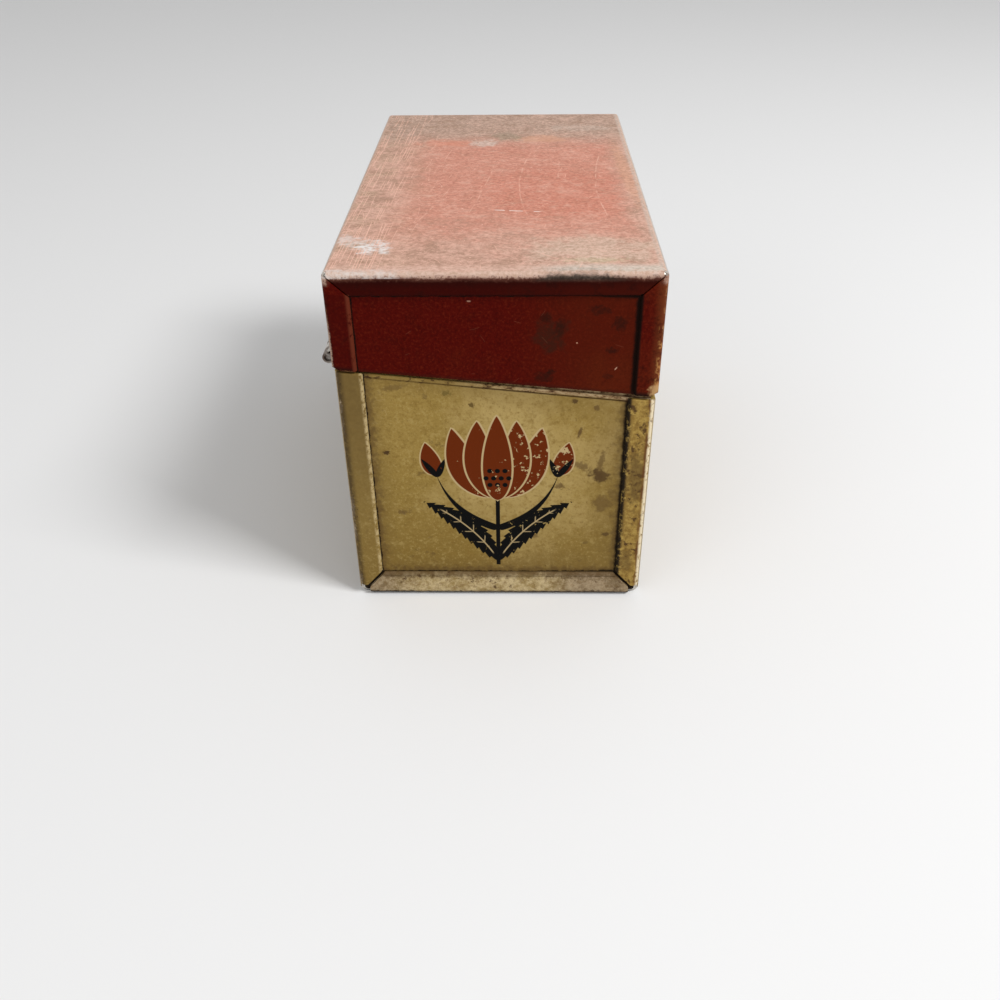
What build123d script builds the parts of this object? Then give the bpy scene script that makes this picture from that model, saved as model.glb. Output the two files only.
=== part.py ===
"""Recipe card box in folded tinplate: a base for 3 x 5 in cards under a hinged lid.

X runs from the hinge side (-X) to the opening side (+X), Y along the hinge line, Z up.
The origin is the middle of the face that the box stands on.
"""

import os
from math import cos, radians, sin, sqrt, tan

from build123d import *

# ---- driving dimensions, mm ----
box_depth = 76.0  # outside of the lid, hinge side to opening side
box_length = 136.0  # outside of the lid, along the hinge line
box_height = 92.0  # outside, lid shut
shoulder_back = 67.8  # height of the base's shoulder at the hinge side
shoulder_front = 59.9  # and at the opening side
seam_gap_back = 0.5  # shoulder to lid edge at the hinge side
seam_gap_front = 1.2  # and at the opening side, where the lid stands a little sprung
base_inset = 0.3  # each face of the base lies this far inside the lid's
sheet = 0.4  # thickness of the tinplate
base_bend = 2.0  # outer radius of the base's folds
lid_bend = 1.2  # outer radius of the lid's folds
base_border = 6.6  # width of the folded border at the sides of a base end
base_border_low = 7.6  # and along its bottom
lid_border = 5.8  # width of the folded border at the sides of a lid end
lid_border_top = 5.5  # and along its top
base_slit = 0.9  # width of the open mitre joints between the base's borders
base_notch = 4.4  # length of the notch in which each ends, from the box's corner
base_tip = 1.3  # rounding of the flanges' tips between slit and notch
lid_slit = 0.3  # and the same for the lid's borders
lid_notch = 1.6
lid_tip = 0.5
edge_round = 0.35  # rounding of shoulders and hemmed edges
edge_land = 0.1  # flat left at the foot of a rounded window edge
crease_drop = 0.9  # creases below the shoulders and along the base's bottom borders
crease_width = 0.3
crease_depth = 0.12
end_return = 4.0  # depth of the edges turned in behind an end panel
hem_height = 4.0  # height of the hem inside the lid's lower edge
lid_corner = 2.0  # rounding of the lid's lower corners
rim_height = 5.0  # the base's rim above its shoulder, inside the lid
rim_corner = 1.5  # what is snipped off the rim's upper corners
rim_clearance = 0.3  # lid hem to rim
nest_gap = 0.1  # extra bend radius of a panel that nests in a fold

hinge_width = 22.0
hinge_end_gap = 8.0  # end of the box to the nearer end of its hinge
hinge_drop = 0.2  # pin below the shoulder at the hinge side
hinge_wall_gap = 0.7  # lid's back face to its knuckles
pin_diameter = 1.8
pin_clearance = 0.08  # pin to knuckle, radial
pin_recess = 0.6  # each end of the pin inside its hinge
strap_sheet = 0.45
strap_height = 9.0  # flat of a strap beyond its knuckles
strap_corner = 2.5
knuckle_slope = 48.0  # degrees between the wall and a knuckle's sloping root
knuckle_wrap = 260.0  # degrees that a knuckle turns round its pin
knuckle_width = 9.0  # the base's knuckle, between the lid's two
knuckle_gap = 0.3
root_bend = 2.8  # radius of the bend between strap and knuckle
weld_spot = 2.4  # diameter of a spot weld's dimple
weld_depth = 0.12
weld_spacing = 12.0

# ---- worked out ----
hem = 2 * sheet  # a hemmed edge is the sheet folded flat on itself
window_round = hem - edge_land
lid_x, lid_y = box_depth / 2, box_length / 2
base_x, base_y = lid_x - base_inset, lid_y - base_inset
rim_x = lid_x - hem - rim_clearance  # outer faces of the rim
rim_y = lid_y - 2 * hem - rim_clearance
base_window = base_x - base_border
lid_window = lid_x - lid_border
roll = pin_diameter / 2 + pin_clearance + strap_sheet / 2  # a knuckle's middle line round its pin
bend_run = root_bend * tan(radians(knuckle_slope) / 2)  # height of the bend at a knuckle's root
pin_x = -lid_x - hinge_wall_gap - strap_sheet / 2 - roll
pin_z = shoulder_back - hinge_drop
hinge_y = lid_y - hinge_end_gap - hinge_width / 2


# ---- outlines on the XZ plane ----
def level(z):
    """A line at one height."""
    return lambda x: z


def raised(line, lift):
    """The same line, lifted."""
    return lambda x: line(x) + lift


def shoulder(x):
    """Height of the base's shoulder, which falls towards the opening side."""
    return shoulder_back + (shoulder_front - shoulder_back) * (x / box_depth + 0.5)


def lid_edge(x):
    """Height of the lid's lower edge."""
    return shoulder(x) + seam_gap_back + (seam_gap_front - seam_gap_back) * (x / box_depth + 0.5)


def strip(x_1, x_2, low, high):
    """Corners of the outline between two upright lines and two lines of heights."""
    left, right = sorted((x_1, x_2))
    return [(left, low(left)), (right, low(right)), (right, high(right)), (left, high(left))]


# ---- shapes that several pieces share ----
down = Axis((0, 0, 0), (0, 0, -1))


def plate(outline, y_1, y_2):
    """Prism of an XZ outline between two places along the hinge line."""
    with BuildPart() as flat:
        with BuildSketch(Plane.XZ.offset(-max(y_1, y_2))):
            Polygon(*outline, align=None)
        extrude(amount=abs(y_2 - y_1))
    return flat.part


def folded_block(outline, y_1, y_2, radius, *open_sides):
    """Prism with its edges rounded, apart from those of the faces on its open sides."""
    with BuildPart() as block:
        add(plate(outline, y_1, y_2))
        kept = ShapeList()
        for side in open_sides:
            kept += block.faces().sort_by(side)[-1].edges()
        fillet(block.edges() - kept, radius)
    return block.part


def creased(half_width, line):
    """Outline of a crease that runs along under a line of heights."""
    high = raised(line, -crease_drop)
    return strip(-half_width, half_width, raised(high, -crease_width), high)


def mitre(window, corner, slit, notch, tip, y_1, y_2):
    """Opening between two flanges: a slit from the window's corner to a notch at the box's."""
    along = (Vector(*corner) - Vector(*window)).normalized()
    across = along.rotate(Axis.Z, 90) * slit / 2
    start, throat = Vector(*window) - along * slit, Vector(*corner) - along * notch
    end = Vector(*corner)
    with BuildPart() as opening:
        with BuildSketch(Plane.XZ.offset(-max(y_1, y_2))) as outline:
            Polygon(start + across, start - across, end - across, end + across, align=None)
            with Locations(corner):
                Rectangle(2 * notch * abs(along.X), 2 * notch * abs(along.Y))
            fillet(outline.vertices().sort_by_distance(throat)[:2], tip)
        extrude(amount=abs(y_2 - y_1))
    return opening.part


def window_edges(wrap, half_width, half_length, low, high):
    """Edges round the end windows of a wrap, on the outer face of the folded border."""
    return wrap.edges().filter_by(Plane.XZ).filter_by(
        lambda edge: abs(edge.center().X) < half_width + edge_round
        and abs(edge.center().Y) > half_length - edge_round
        and low < edge.center().Z < high
    )


# ---- base: back, bottom and front in one strip, end flanges folded in and mitred ----
base_skin = folded_block(
    strip(-base_x, base_x, level(0), shoulder), -base_y, base_y, base_bend, Axis.Z
)
base_hollow = folded_block(
    strip(sheet - base_x, base_x - sheet, level(sheet), raised(shoulder, rim_height)),
    hem - base_y,
    base_y - hem,
    base_bend - sheet,
    Axis.Z,
)
under_shoulder = raised(shoulder, -sheet)
rim_top = raised(shoulder, rim_height)

with BuildPart() as base_wrap:
    add(base_skin)
    add(base_hollow, mode=Mode.SUBTRACT)
    window = strip(-base_window, base_window, level(base_border_low), raised(shoulder, sheet))
    add(plate(window, -lid_y, lid_y), mode=Mode.SUBTRACT)
    low = base_border_low - edge_round
    fillet(window_edges(base_wrap, base_window, base_y, low, box_height), window_round)
    # the rounding of a wall's top edge runs on round the bends and along the borders
    wall_tops = base_wrap.edges().filter_by(Axis.Y).filter_by(
        lambda edge: abs(edge.center().X) > base_x - sheet / 2
        and edge.center().Z > shoulder_front - sheet
    )
    fillet(wall_tops, edge_round)
    for end in (-1, 1):
        crease = creased(base_window, level(base_border_low))
        add(plate(crease, end * (base_y - crease_depth), end * lid_y), mode=Mode.SUBTRACT)
        for side in (-1, 1):
            add(
                mitre(
                    (side * base_window, base_border_low),
                    (side * base_x, 0),
                    base_slit,
                    base_notch,
                    base_tip,
                    end * (base_y - base_bend),
                    end * lid_y,
                ),
                mode=Mode.SUBTRACT,
            )
    for side in (-1, 1):
        # the step in at the shoulder, and the rim above it
        ledge = strip(side * (base_x - edge_round), side * (rim_x - sheet), under_shoulder, shoulder)
        rim = strip(side * rim_x, side * (rim_x - sheet), under_shoulder, rim_top)
        add(plate(ledge, hem + sheet - base_y, base_y - hem - sheet))
        add(plate(rim, -rim_y, rim_y))
    rim_ends = base_wrap.edges().filter_by(
        lambda edge: edge.center().Z > rim_top(edge.center().X) - sheet / 2
        and abs(edge.center().Y) > rim_y - sheet / 2
    )
    chamfer(rim_ends, rim_corner)

# ---- base ends: a panel turned in behind the border, stepped in as a rim at its top ----
panel_y = base_y - hem  # outer face of the panel
panel_x = base_x - sheet
panel_bend = base_bend - sheet + nest_gap

with BuildPart() as base_end_near:
    add(
        folded_block(
            strip(-panel_x, panel_x, level(sheet), shoulder),
            -panel_y,
            end_return - panel_y,
            panel_bend,
            Axis.Z,
            Axis.Y,
        )
    )
    fillet(base_end_near.faces().sort_by(Axis.Z)[-1].edges().sort_by(Axis.Y)[0], edge_round)
    above = strip(-lid_x, lid_x, under_shoulder, rim_top)
    add(plate(above, sheet - panel_y, 0), mode=Mode.SUBTRACT)
    add(
        folded_block(
            strip(sheet - panel_x, panel_x - sheet, level(hem), rim_top),
            sheet - panel_y,
            2 * end_return - panel_y,
            panel_bend - sheet,
            Axis.Z,
            Axis.Y,
        ),
        mode=Mode.SUBTRACT,
    )
    inside = rim_x - sheet
    add(plate(strip(-inside, inside, under_shoulder, shoulder), sheet - panel_y, sheet - rim_y))
    add(plate(strip(-inside, inside, under_shoulder, rim_top), -rim_y, sheet - rim_y))
    crease = creased(base_window, shoulder)
    add(plate(crease, -lid_y, crease_depth - panel_y), mode=Mode.SUBTRACT)
    rim_ends = base_end_near.edges().filter_by(Axis.Y).sort_by(Axis.Z)
    chamfer(
        rim_ends.filter_by(lambda edge: edge.center().Z > rim_top(edge.center().X) - sheet / 2),
        rim_corner,
    )

with BuildPart() as base_end_far:
    mirror(base_end_near.part, about=Plane.XZ)

# ---- lid: back skirt, top and front skirt in one strip, end flanges folded in ----
lid_top = level(box_height)
below_lid = raised(lid_edge, -rim_height)
lid_skin = folded_block(strip(-lid_x, lid_x, lid_edge, lid_top), -lid_y, lid_y, lid_bend, down)
lid_hollow = folded_block(
    strip(sheet - lid_x, lid_x - sheet, below_lid, level(box_height - sheet)),
    hem - lid_y,
    lid_y - hem,
    lid_bend - sheet,
    down,
)


def corner_trim(side, end):
    """What rounds off a lower corner of the lid, cut squarely across its upright bend."""
    reach = lid_bend + lid_corner * sqrt(2)
    foot = min(lid_edge(side * lid_x), lid_edge(side * (lid_x - reach)))
    across_bend = Plane(
        origin=(side * (lid_x - lid_bend), end * (lid_y - lid_bend), foot + lid_corner),
        x_dir=(side, end, 0),
        z_dir=(end, -side, 0),
    )
    with BuildPart() as trim:
        with BuildSketch(across_bend):
            with Locations((lid_bend, -lid_corner)):
                Rectangle(2 * lid_corner, 2 * lid_corner)
            with Locations((lid_bend - lid_corner, 0)):
                Circle(lid_corner, mode=Mode.SUBTRACT)
        extrude(amount=2 * lid_corner, both=True)
    return trim.part


with BuildPart() as lid_wrap:
    add(lid_skin)
    add(lid_hollow, mode=Mode.SUBTRACT)
    window = strip(-lid_window, lid_window, below_lid, level(box_height - lid_border_top))
    add(plate(window, -lid_y - sheet, lid_y + sheet), mode=Mode.SUBTRACT)
    high = box_height - lid_border_top + edge_round
    fillet(window_edges(lid_wrap, lid_window, lid_y, 0, high), window_round)
    wall_edges = lid_wrap.edges().filter_by(Axis.Y).filter_by(
        lambda edge: abs(edge.center().X) > lid_x - sheet / 2
        and edge.center().Z < shoulder_back + lid_corner
    )
    fillet(wall_edges, edge_round)
    for side in (-1, 1):
        for end in (-1, 1):
            add(
                mitre(
                    (side * lid_window, box_height - lid_border_top),
                    (side * lid_x, box_height),
                    lid_slit,
                    lid_notch,
                    lid_tip,
                    end * (lid_y - lid_bend),
                    end * (lid_y + sheet),
                ),
                mode=Mode.SUBTRACT,
            )
            add(corner_trim(side, end), mode=Mode.SUBTRACT)
        fold = strip(
            side * (lid_x - sheet), side * (lid_x - hem), lid_edge, raised(lid_edge, hem_height)
        )
        fold_y = lid_y - hem - end_return - rim_clearance
        add(plate(fold, -fold_y, fold_y))

# ---- lid ends: a panel turned in behind the border, hemmed along its lower edge ----
lid_panel_y = lid_y - hem  # outer face of the panel
lid_panel_x = lid_x - sheet
lid_panel_bend = lid_bend - sheet + nest_gap

with BuildPart() as lid_end_near:
    add(
        folded_block(
            strip(-lid_panel_x, lid_panel_x, lid_edge, level(box_height - sheet)),
            -lid_panel_y,
            end_return - lid_panel_y,
            lid_panel_bend,
            down,
            Axis.Y,
        )
    )
    add(
        folded_block(
            strip(sheet - lid_panel_x, lid_panel_x - sheet, below_lid, level(box_height - hem)),
            sheet - lid_panel_y,
            2 * end_return - lid_panel_y,
            lid_panel_bend - sheet,
            down,
            Axis.Y,
        ),
        mode=Mode.SUBTRACT,
    )
    inside = lid_panel_x - sheet
    fold = strip(-inside, inside, lid_edge, raised(lid_edge, hem_height))
    add(plate(fold, sheet - lid_panel_y, hem - lid_panel_y))
    for side in (-1, 1):
        add(corner_trim(side, -1), mode=Mode.SUBTRACT)

with BuildPart() as lid_end_far:
    mirror(lid_end_near.part, about=Plane.XZ)


# ---- hinges: a strap on each wall, rolled into knuckles round a wire pin ----
def strap_root(wall_x, up):
    """Where a knuckle's sloping root meets its roll round the pin, and where it leaves the wall."""
    slope = radians(knuckle_slope)
    touch_x, touch_z = pin_x - roll * cos(slope), pin_z + up * roll * sin(slope)
    middle_x = wall_x - strap_sheet / 2
    root_z = touch_z + up * (middle_x - touch_x) / sin(slope) * cos(slope)
    return (touch_x, touch_z), (middle_x, root_z)


def knuckle(wall_x, up, y_1, y_2):
    """Sheet that leaves the wall, slopes out past the pin and rolls round it."""
    touch, root = strap_root(wall_x, up)
    with BuildPart() as rolled:
        with BuildSketch(Plane.XZ.offset(-max(y_1, y_2))):
            with BuildLine():
                start = (root[0], root[1] + up * (bend_run + strap_height / 2))
                FilletPolyline(start, root, touch, radius=root_bend)
                CenterArc(
                    (pin_x, pin_z), roll, 180 - up * knuckle_slope, up * knuckle_wrap
                )
                offset(amount=strap_sheet / 2)
            make_face()
        extrude(amount=abs(y_2 - y_1))
    return rolled.part


def hinge_strap(wall_x, up, knuckle_spans):
    """Strap of the near hinge: a flat with rounded corners, its welds and its knuckles."""
    root = strap_root(wall_x, up)[1]
    flat_z = root[1] + up * (bend_run + strap_height / 2)
    with BuildPart() as leaf:
        with BuildSketch(Plane.YZ.offset(wall_x - strap_sheet)):
            with Locations((-hinge_y, flat_z)):
                Rectangle(hinge_width, strap_height)
        extrude(amount=strap_sheet)
        tips = leaf.edges().filter_by(Axis.X).group_by(Axis.Z)
        fillet(tips[-1] if up > 0 else tips[0], strap_corner)
        for span in knuckle_spans:
            add(knuckle(wall_x, up, -hinge_y + span[0], -hinge_y + span[1]))
        with BuildSketch(Plane.YZ.offset(wall_x - strap_sheet)):
            with Locations((-hinge_y, flat_z)):
                with GridLocations(weld_spacing, 0, 2, 1):
                    Circle(weld_spot / 2)
        extrude(amount=weld_depth, mode=Mode.SUBTRACT)
    return leaf.part


half_hinge, half_knuckle = hinge_width / 2, knuckle_width / 2
outer_knuckle = (half_knuckle + knuckle_gap, half_hinge)

with BuildPart() as lid_leaf_near:
    add(hinge_strap(-lid_x, 1, [(-outer_knuckle[1], -outer_knuckle[0]), outer_knuckle]))

with BuildPart() as base_leaf_near:
    add(hinge_strap(-base_x, -1, [(-half_knuckle, half_knuckle)]))

with BuildPart() as hinge_pin_near:
    with BuildSketch(Plane.XZ.offset(hinge_y - half_hinge + pin_recess)):
        with Locations((pin_x, pin_z)):
            Circle(pin_diameter / 2)
    extrude(amount=hinge_width - 2 * pin_recess)

with BuildPart() as lid_leaf_far:
    mirror(lid_leaf_near.part, about=Plane.XZ)

with BuildPart() as base_leaf_far:
    mirror(base_leaf_near.part, about=Plane.XZ)

with BuildPart() as hinge_pin_far:
    mirror(hinge_pin_near.part, about=Plane.XZ)

# ---- labels and files ----
base_wrap.part.label = "base_wrap"
base_end_near.part.label = "base_end_near"
base_end_far.part.label = "base_end_far"
lid_wrap.part.label = "lid_wrap"
lid_end_near.part.label = "lid_end_near"
lid_end_far.part.label = "lid_end_far"
lid_leaf_near.part.label = "lid_leaf_near"
lid_leaf_far.part.label = "lid_leaf_far"
base_leaf_near.part.label = "base_leaf_near"
base_leaf_far.part.label = "base_leaf_far"
hinge_pin_near.part.label = "hinge_pin_near"
hinge_pin_far.part.label = "hinge_pin_far"

os.makedirs("parts", exist_ok=True)
for piece in (
    base_wrap,
    base_end_near,
    base_end_far,
    lid_wrap,
    lid_end_near,
    lid_end_far,
    lid_leaf_near,
    lid_leaf_far,
    base_leaf_near,
    base_leaf_far,
    hinge_pin_near,
    hinge_pin_far,
):
    export_step(piece.part, f"parts/{piece.part.label}.step")
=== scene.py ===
"""Looks of the recipe card box: worn enamel over tinplate, with a floor, lights and a camera.

Materials are placed in the model's own frame, in mm, and colours are linear RGB."""

import math

import bpy
from mathutils import Matrix, Vector


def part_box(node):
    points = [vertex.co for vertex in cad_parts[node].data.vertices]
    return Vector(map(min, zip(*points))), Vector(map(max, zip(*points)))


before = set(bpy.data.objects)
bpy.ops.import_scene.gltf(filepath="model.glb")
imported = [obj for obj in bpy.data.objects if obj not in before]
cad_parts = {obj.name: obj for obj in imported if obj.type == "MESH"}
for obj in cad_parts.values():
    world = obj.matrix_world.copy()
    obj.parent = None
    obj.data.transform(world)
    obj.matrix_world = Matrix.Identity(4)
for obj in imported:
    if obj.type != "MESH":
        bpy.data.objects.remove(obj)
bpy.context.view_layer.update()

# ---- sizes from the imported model, mm ----
MM = 1000.0  # millimetres in a metre


def corners(node):
    """Lowest and highest corner of a CAD node, in mm."""
    return [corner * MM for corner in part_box(node)]


half_depth, half_length, top = corners("lid_wrap")[1]
base_x, base_y = corners("base_wrap")[1].xy
lid_panel_y = -corners("lid_end_near")[0].y
base_panel_y = -corners("base_end_near")[0].y

sheet = 0.4  # thickness of the tinplate
hem = 2 * sheet
shoulder_back, shoulder_front = 67.8, 59.9  # height of the base's shoulder at its two sides
seam_back, seam_front = 0.5, 1.2  # gap between shoulder and lid there
rim_step = 0.8  # the rim lies this far inside the base's wall
hem_height = 4.0  # of the hem turned up inside the lid's lower edge
base_window, base_window_low = 31.1, 7.6  # inner edges of the base's end borders
lid_window, lid_window_high = 32.2, 86.5  # and of the lid's
crease_drop = 1.05  # shoulder to the middle of the crease below it
slack = 0.05  # a mask reaches this far past the face that it holds

CELL_OUTPUTS = ("Distance", "Color", "Position")
SEED_SHIFT = (3.7, 5.3, 7.9)  # from one seed's pattern to the next one's, in pattern sizes


# ---- values that vary over a surface ----
def feed(slot, value):
    """Gives a node's input a constant, or links it to a field."""
    if isinstance(value, Field):
        value.tree.links.new(value.socket, slot)
    else:
        slot.default_value = value


class Field:
    """A number, colour or place that varies over a surface: one output of a node."""

    def __init__(self, tree, socket):
        self.tree = tree
        self.socket = socket

    def math(self, operation, *others):
        node = self.tree.nodes.new("ShaderNodeMath")
        node.operation = operation
        for slot, value in zip(node.inputs, (self, *others)):
            feed(slot, value)
        return Field(self.tree, node.outputs[0])

    def __add__(self, other):
        return self.math("ADD", other)

    def __sub__(self, other):
        return self.math("SUBTRACT", other)

    def __mul__(self, other):
        return self.math("MULTIPLY", other)

    def __truediv__(self, other):
        return self.math("DIVIDE", other)

    def __pow__(self, other):
        return self.math("POWER", other)

    def __neg__(self):
        return self.math("MULTIPLY", -1.0)

    def __abs__(self):
        return self.math("ABSOLUTE")

    def least(self, other):
        return self.math("MINIMUM", other)

    def most(self, other):
        return self.math("MAXIMUM", other)

    def over(self, limit):
        """1 where the value is above the limit, else 0."""
        return self.math("GREATER_THAN", limit)

    def under(self, limit):
        """1 where the value is below the limit, else 0."""
        return self.math("LESS_THAN", limit)

    def rise(self, low, high, start=0.0, end=1.0):
        """From one value below low to another above high, by a smooth step between."""
        node = self.tree.nodes.new("ShaderNodeMapRange")
        node.interpolation_type = "SMOOTHSTEP"
        limits = {"From Min": low, "From Max": high, "To Min": start, "To Max": end}
        for name, value in {"Value": self, **limits}.items():
            feed(node.inputs[name], value)
        return Field(self.tree, node.outputs["Result"])

    def fall(self, low, high):
        """1 below low, 0 above high, and a smooth step between."""
        return self.rise(low, high, 1.0, 0.0)

    def line(self, level, width):
        """1 on the contour where the value is at this level, gone a width away."""
        return abs(self - level).fall(0.0, width)


class Paint:
    """A material built up in layers, its patterns placed in the model's frame in mm."""

    def __init__(self, name):
        self.material = bpy.data.materials.new(name)
        self.material.use_nodes = True
        self.tree = self.material.node_tree
        self.tree.nodes.clear()
        metres = Field(self.tree, self.node("ShaderNodeTexCoord", {}).outputs["Object"])
        self.place = self.stretched(metres, (MM, MM, MM))
        parts = self.node("ShaderNodeSeparateXYZ", {0: self.place})
        self.x, self.y, self.z = (Field(self.tree, output) for output in parts.outputs)
        self.plan = self.stretched(self.place, (1, 1, 0))
        front = self.node("ShaderNodeCombineXYZ", {0: self.x, 1: self.z})
        self.front = Field(self.tree, front.outputs[0])
        self.colour = (0.5, 0.5, 0.5, 1)
        self.roughness = 0.5
        self.metal = 0.0
        self.height = None

    def node(self, kind, inputs, **settings):
        made = self.tree.nodes.new(kind)
        for name, value in settings.items():
            setattr(made, name, value)
        for name, value in inputs.items():
            feed(made.inputs[name], value)
        return made

    def vector_math(self, operation, first, second, output=0):
        made = self.node("ShaderNodeVectorMath", {0: first, 1: second}, operation=operation)
        return Field(self.tree, made.outputs[output])

    def stretched(self, place, factors, shift=(0, 0, 0)):
        inputs = {0: place, 1: factors, 2: shift}
        made = self.node("ShaderNodeVectorMath", inputs, operation="MULTIPLY_ADD")
        return Field(self.tree, made.outputs[0])

    def pattern_place(self, place, size, seed):
        """The place measured in pattern sizes, which may differ along X, Y and Z."""
        sizes = size if isinstance(size, tuple) else (size, size, size)
        shift = tuple(step * seed for step in SEED_SHIFT)
        return self.stretched(place, tuple(1 / along for along in sizes), shift)

    def noise_node(self, size, seed, detail, roughness):
        inputs = {
            "Vector": self.pattern_place(self.place, size, seed),
            "Scale": 1.0,
            "Detail": detail,
            "Roughness": roughness,
        }
        return self.node("ShaderNodeTexNoise", inputs)

    def noise(self, size, seed, detail=2.0, roughness=0.5):
        """Cloudy values round 0.5, with features of this size in mm."""
        made = self.noise_node(size, seed, detail, roughness)
        return Field(self.tree, made.outputs["Fac"])

    def wobbled(self, plane, size, seed, amount):
        """The same plane, pushed about by a little either way."""
        made = self.noise_node(size, seed, detail=2.0, roughness=0.5)
        push = self.stretched(
            Field(self.tree, made.outputs["Color"]), (amount, amount, 0), (-amount / 2, -amount / 2, 0)
        )
        return self.vector_math("ADD", plane, push)

    def cells(self, place, **settings):
        """Random cells: distance to the cell's middle, the middle's place and three chances."""
        made = self.node("ShaderNodeTexVoronoi", {"Vector": place, "Scale": 1.0}, **settings)
        distance, colour, middle = (Field(self.tree, made.outputs[name]) for name in CELL_OUTPUTS)
        split = self.node("ShaderNodeSeparateColor", {0: colour})
        return distance, middle, [Field(self.tree, output) for output in split.outputs]

    def spots(self, size, seed, share, radius):
        """Round spots in this share of cells of this size; radius is the largest, in cells."""
        distance, _, chances = self.cells(self.pattern_place(self.place, size, seed))
        reach = (chances[1] * 0.75 + 0.25) * radius
        return (distance / reach).fall(0.6, 1.0) * chances[0].under(share)

    def strokes(self, plane, size, seed, share, length, width, heading, spread, bow=0.6):
        """Scratches in this share of cells, bowed and turned from the heading by up to the spread."""
        place = self.pattern_place(plane, (*size, 1), seed)
        _, middle, chances = self.cells(place, voronoi_dimensions="2D")
        offset = self.stretched(self.vector_math("SUBTRACT", place, middle), (*size, 0))
        turn = chances[1] * math.radians(2 * spread) - math.radians(heading + spread)
        inputs = {"Vector": offset, "Angle": turn}
        turned = self.node("ShaderNodeVectorRotate", inputs, rotation_type="Z_AXIS")
        parts = self.node("ShaderNodeSeparateXYZ", {0: Field(self.tree, turned.outputs[0])})
        ahead, aside = (Field(self.tree, output) for output in parts.outputs[:2])
        bowed = aside + ahead * ahead * (chances[1] - chances[2]) * (bow / length)
        reach = (chances[2] * 0.7 + 0.3) * (length / 2)
        stroke = bowed.line(0.0, width / 2) * (abs(ahead) / reach).fall(0.7, 1.0)
        return stroke * chances[0].under(share)

    def distance(self, plane, place):
        return self.vector_math("DISTANCE", plane, (*place, 0), output=1)

    def blot(self, plane, place, radii, ragged, seed, heading=0.0):
        """A ragged oval patch round a place on the plane."""
        inputs = {
            "Vector": plane,
            "Location": (*place, 0),
            "Rotation": (0, 0, math.radians(heading)),
            "Scale": (*radii, 1),
        }
        local = Field(self.tree, self.node("ShaderNodeMapping", inputs, vector_type="TEXTURE").outputs[0])
        grain = self.noise(min(radii) * 0.7, seed, detail=4.0, roughness=0.65) - 0.5
        return (self.distance(local, (0, 0)) + grain * ragged).fall(0.5, 1.15)

    def arc(self, plane, start, middle, end, width):
        """A thin line along the arc through three places, tapering away at its ends."""
        a, b, c = Vector(start), Vector(middle), Vector(end)
        # the middle of the circle through the three
        turn = 2 * (b - a).cross(c - b)
        weights = [p.length_squared / turn for p in (a, b, c)]
        sides = (b - c, c - a, a - b)
        centre_x = sum(weight * side.y for weight, side in zip(weights, sides))
        centre_y = -sum(weight * side.x for weight, side in zip(weights, sides))
        radius = (a - Vector((centre_x, centre_y))).length
        reach = (c - a).length / 2
        ends = self.distance(plane, (a + c) / 2).fall(0.8 * reach, reach)
        return self.distance(plane, (centre_x, centre_y)).line(radius, width) * ends

    def mix(self, factor, low, high):
        """Colour between two others."""
        made = self.node("ShaderNodeMix", {0: factor}, data_type="RGBA")
        for slot, colour in ((made.inputs[6], low), (made.inputs[7], high)):
            feed(slot, colour if isinstance(colour, Field) or len(colour) == 4 else (*colour, 1))
        return Field(self.tree, made.outputs[2])

    def between(self, factor, low, high):
        """Number between two others."""
        return Field(self.tree, self.node("ShaderNodeMix", {0: factor, 2: low, 3: high}).outputs[0])

    def lay(self, mask, colour=None, roughness=None, metal=None, lift=None):
        """Lays a coat where the mask is 1: its colour, finish and height in mm over what is there."""
        if colour is not None:
            self.colour = self.mix(mask, self.colour, colour)
        if roughness is not None:
            self.roughness = self.between(mask, self.roughness, roughness)
        if metal is not None:
            self.metal = self.between(mask, self.metal, metal)
        if lift is not None:
            raised = mask * lift
            self.height = raised if self.height is None else self.height + raised

    def lay_blots(self, over, plane, ragged, seed, blots):
        """Lays patches one by one: place, radii, heading, strength and colour of each."""
        for number, (place, radii, heading, strength, colour) in enumerate(blots):
            patch = self.blot(plane, place, radii, ragged, seed + number, heading)
            self.lay(over * patch * strength, colour)

    def finish(self, specular):
        """Ends the node tree and returns the material."""
        bump = self.node("ShaderNodeBump", {"Height": self.height, "Distance": 1 / MM})
        inputs = {
            "Base Color": self.colour,
            "Roughness": self.roughness,
            "Metallic": self.metal,
            "Specular IOR Level": specular,
            "Normal": Field(self.tree, bump.outputs[0]),
        }
        surface = Field(self.tree, self.node("ShaderNodeBsdfPrincipled", inputs).outputs[0])
        self.node("ShaderNodeOutputMaterial", {0: surface})
        return self.material


def middle_of_three(a, b, c):
    """The middle value. Of the distances to three faces it is that to the nearest edge."""
    return a.least(b).most(a.most(b).least(c))


# ---- finishes ----
rust = (0.075, 0.028, 0.010)
umber = (0.045, 0.020, 0.009)
# near black, laid both as soot and as painted shade in grooves and along lower edges
soot_and_shade = (0.006, 0.004, 0.003)
chalk = (0.76, 0.74, 0.72)


def tinplate(paint):
    """Bare tinplate: a soft grey metal, dull in patches and flecked with rust."""
    paint.lay(1.0, (0.60, 0.57, 0.52), roughness=0.36, metal=1.0)
    dull = paint.noise(16, 1, detail=6.0, roughness=0.62).rise(0.36, 0.68)
    paint.lay(dull, (0.46, 0.43, 0.385), roughness=0.46)
    clouded = paint.noise(2.4, 5, detail=5.0, roughness=0.75).rise(0.5, 0.72)
    paint.lay(clouded * 0.5, (0.38, 0.34, 0.30), roughness=0.55)
    waves = paint.noise(26, 2, detail=1.0)
    paint.lay(waves, lift=0.12)
    brushed = paint.noise((0.5, 7, 0.5), 3, detail=2.0)
    paint.lay(brushed, lift=0.004)
    flecks = paint.spots(2.3, 4, 0.22, 0.24)
    paint.lay(flecks, rust, roughness=0.85, metal=0.0, lift=0.01)


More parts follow.
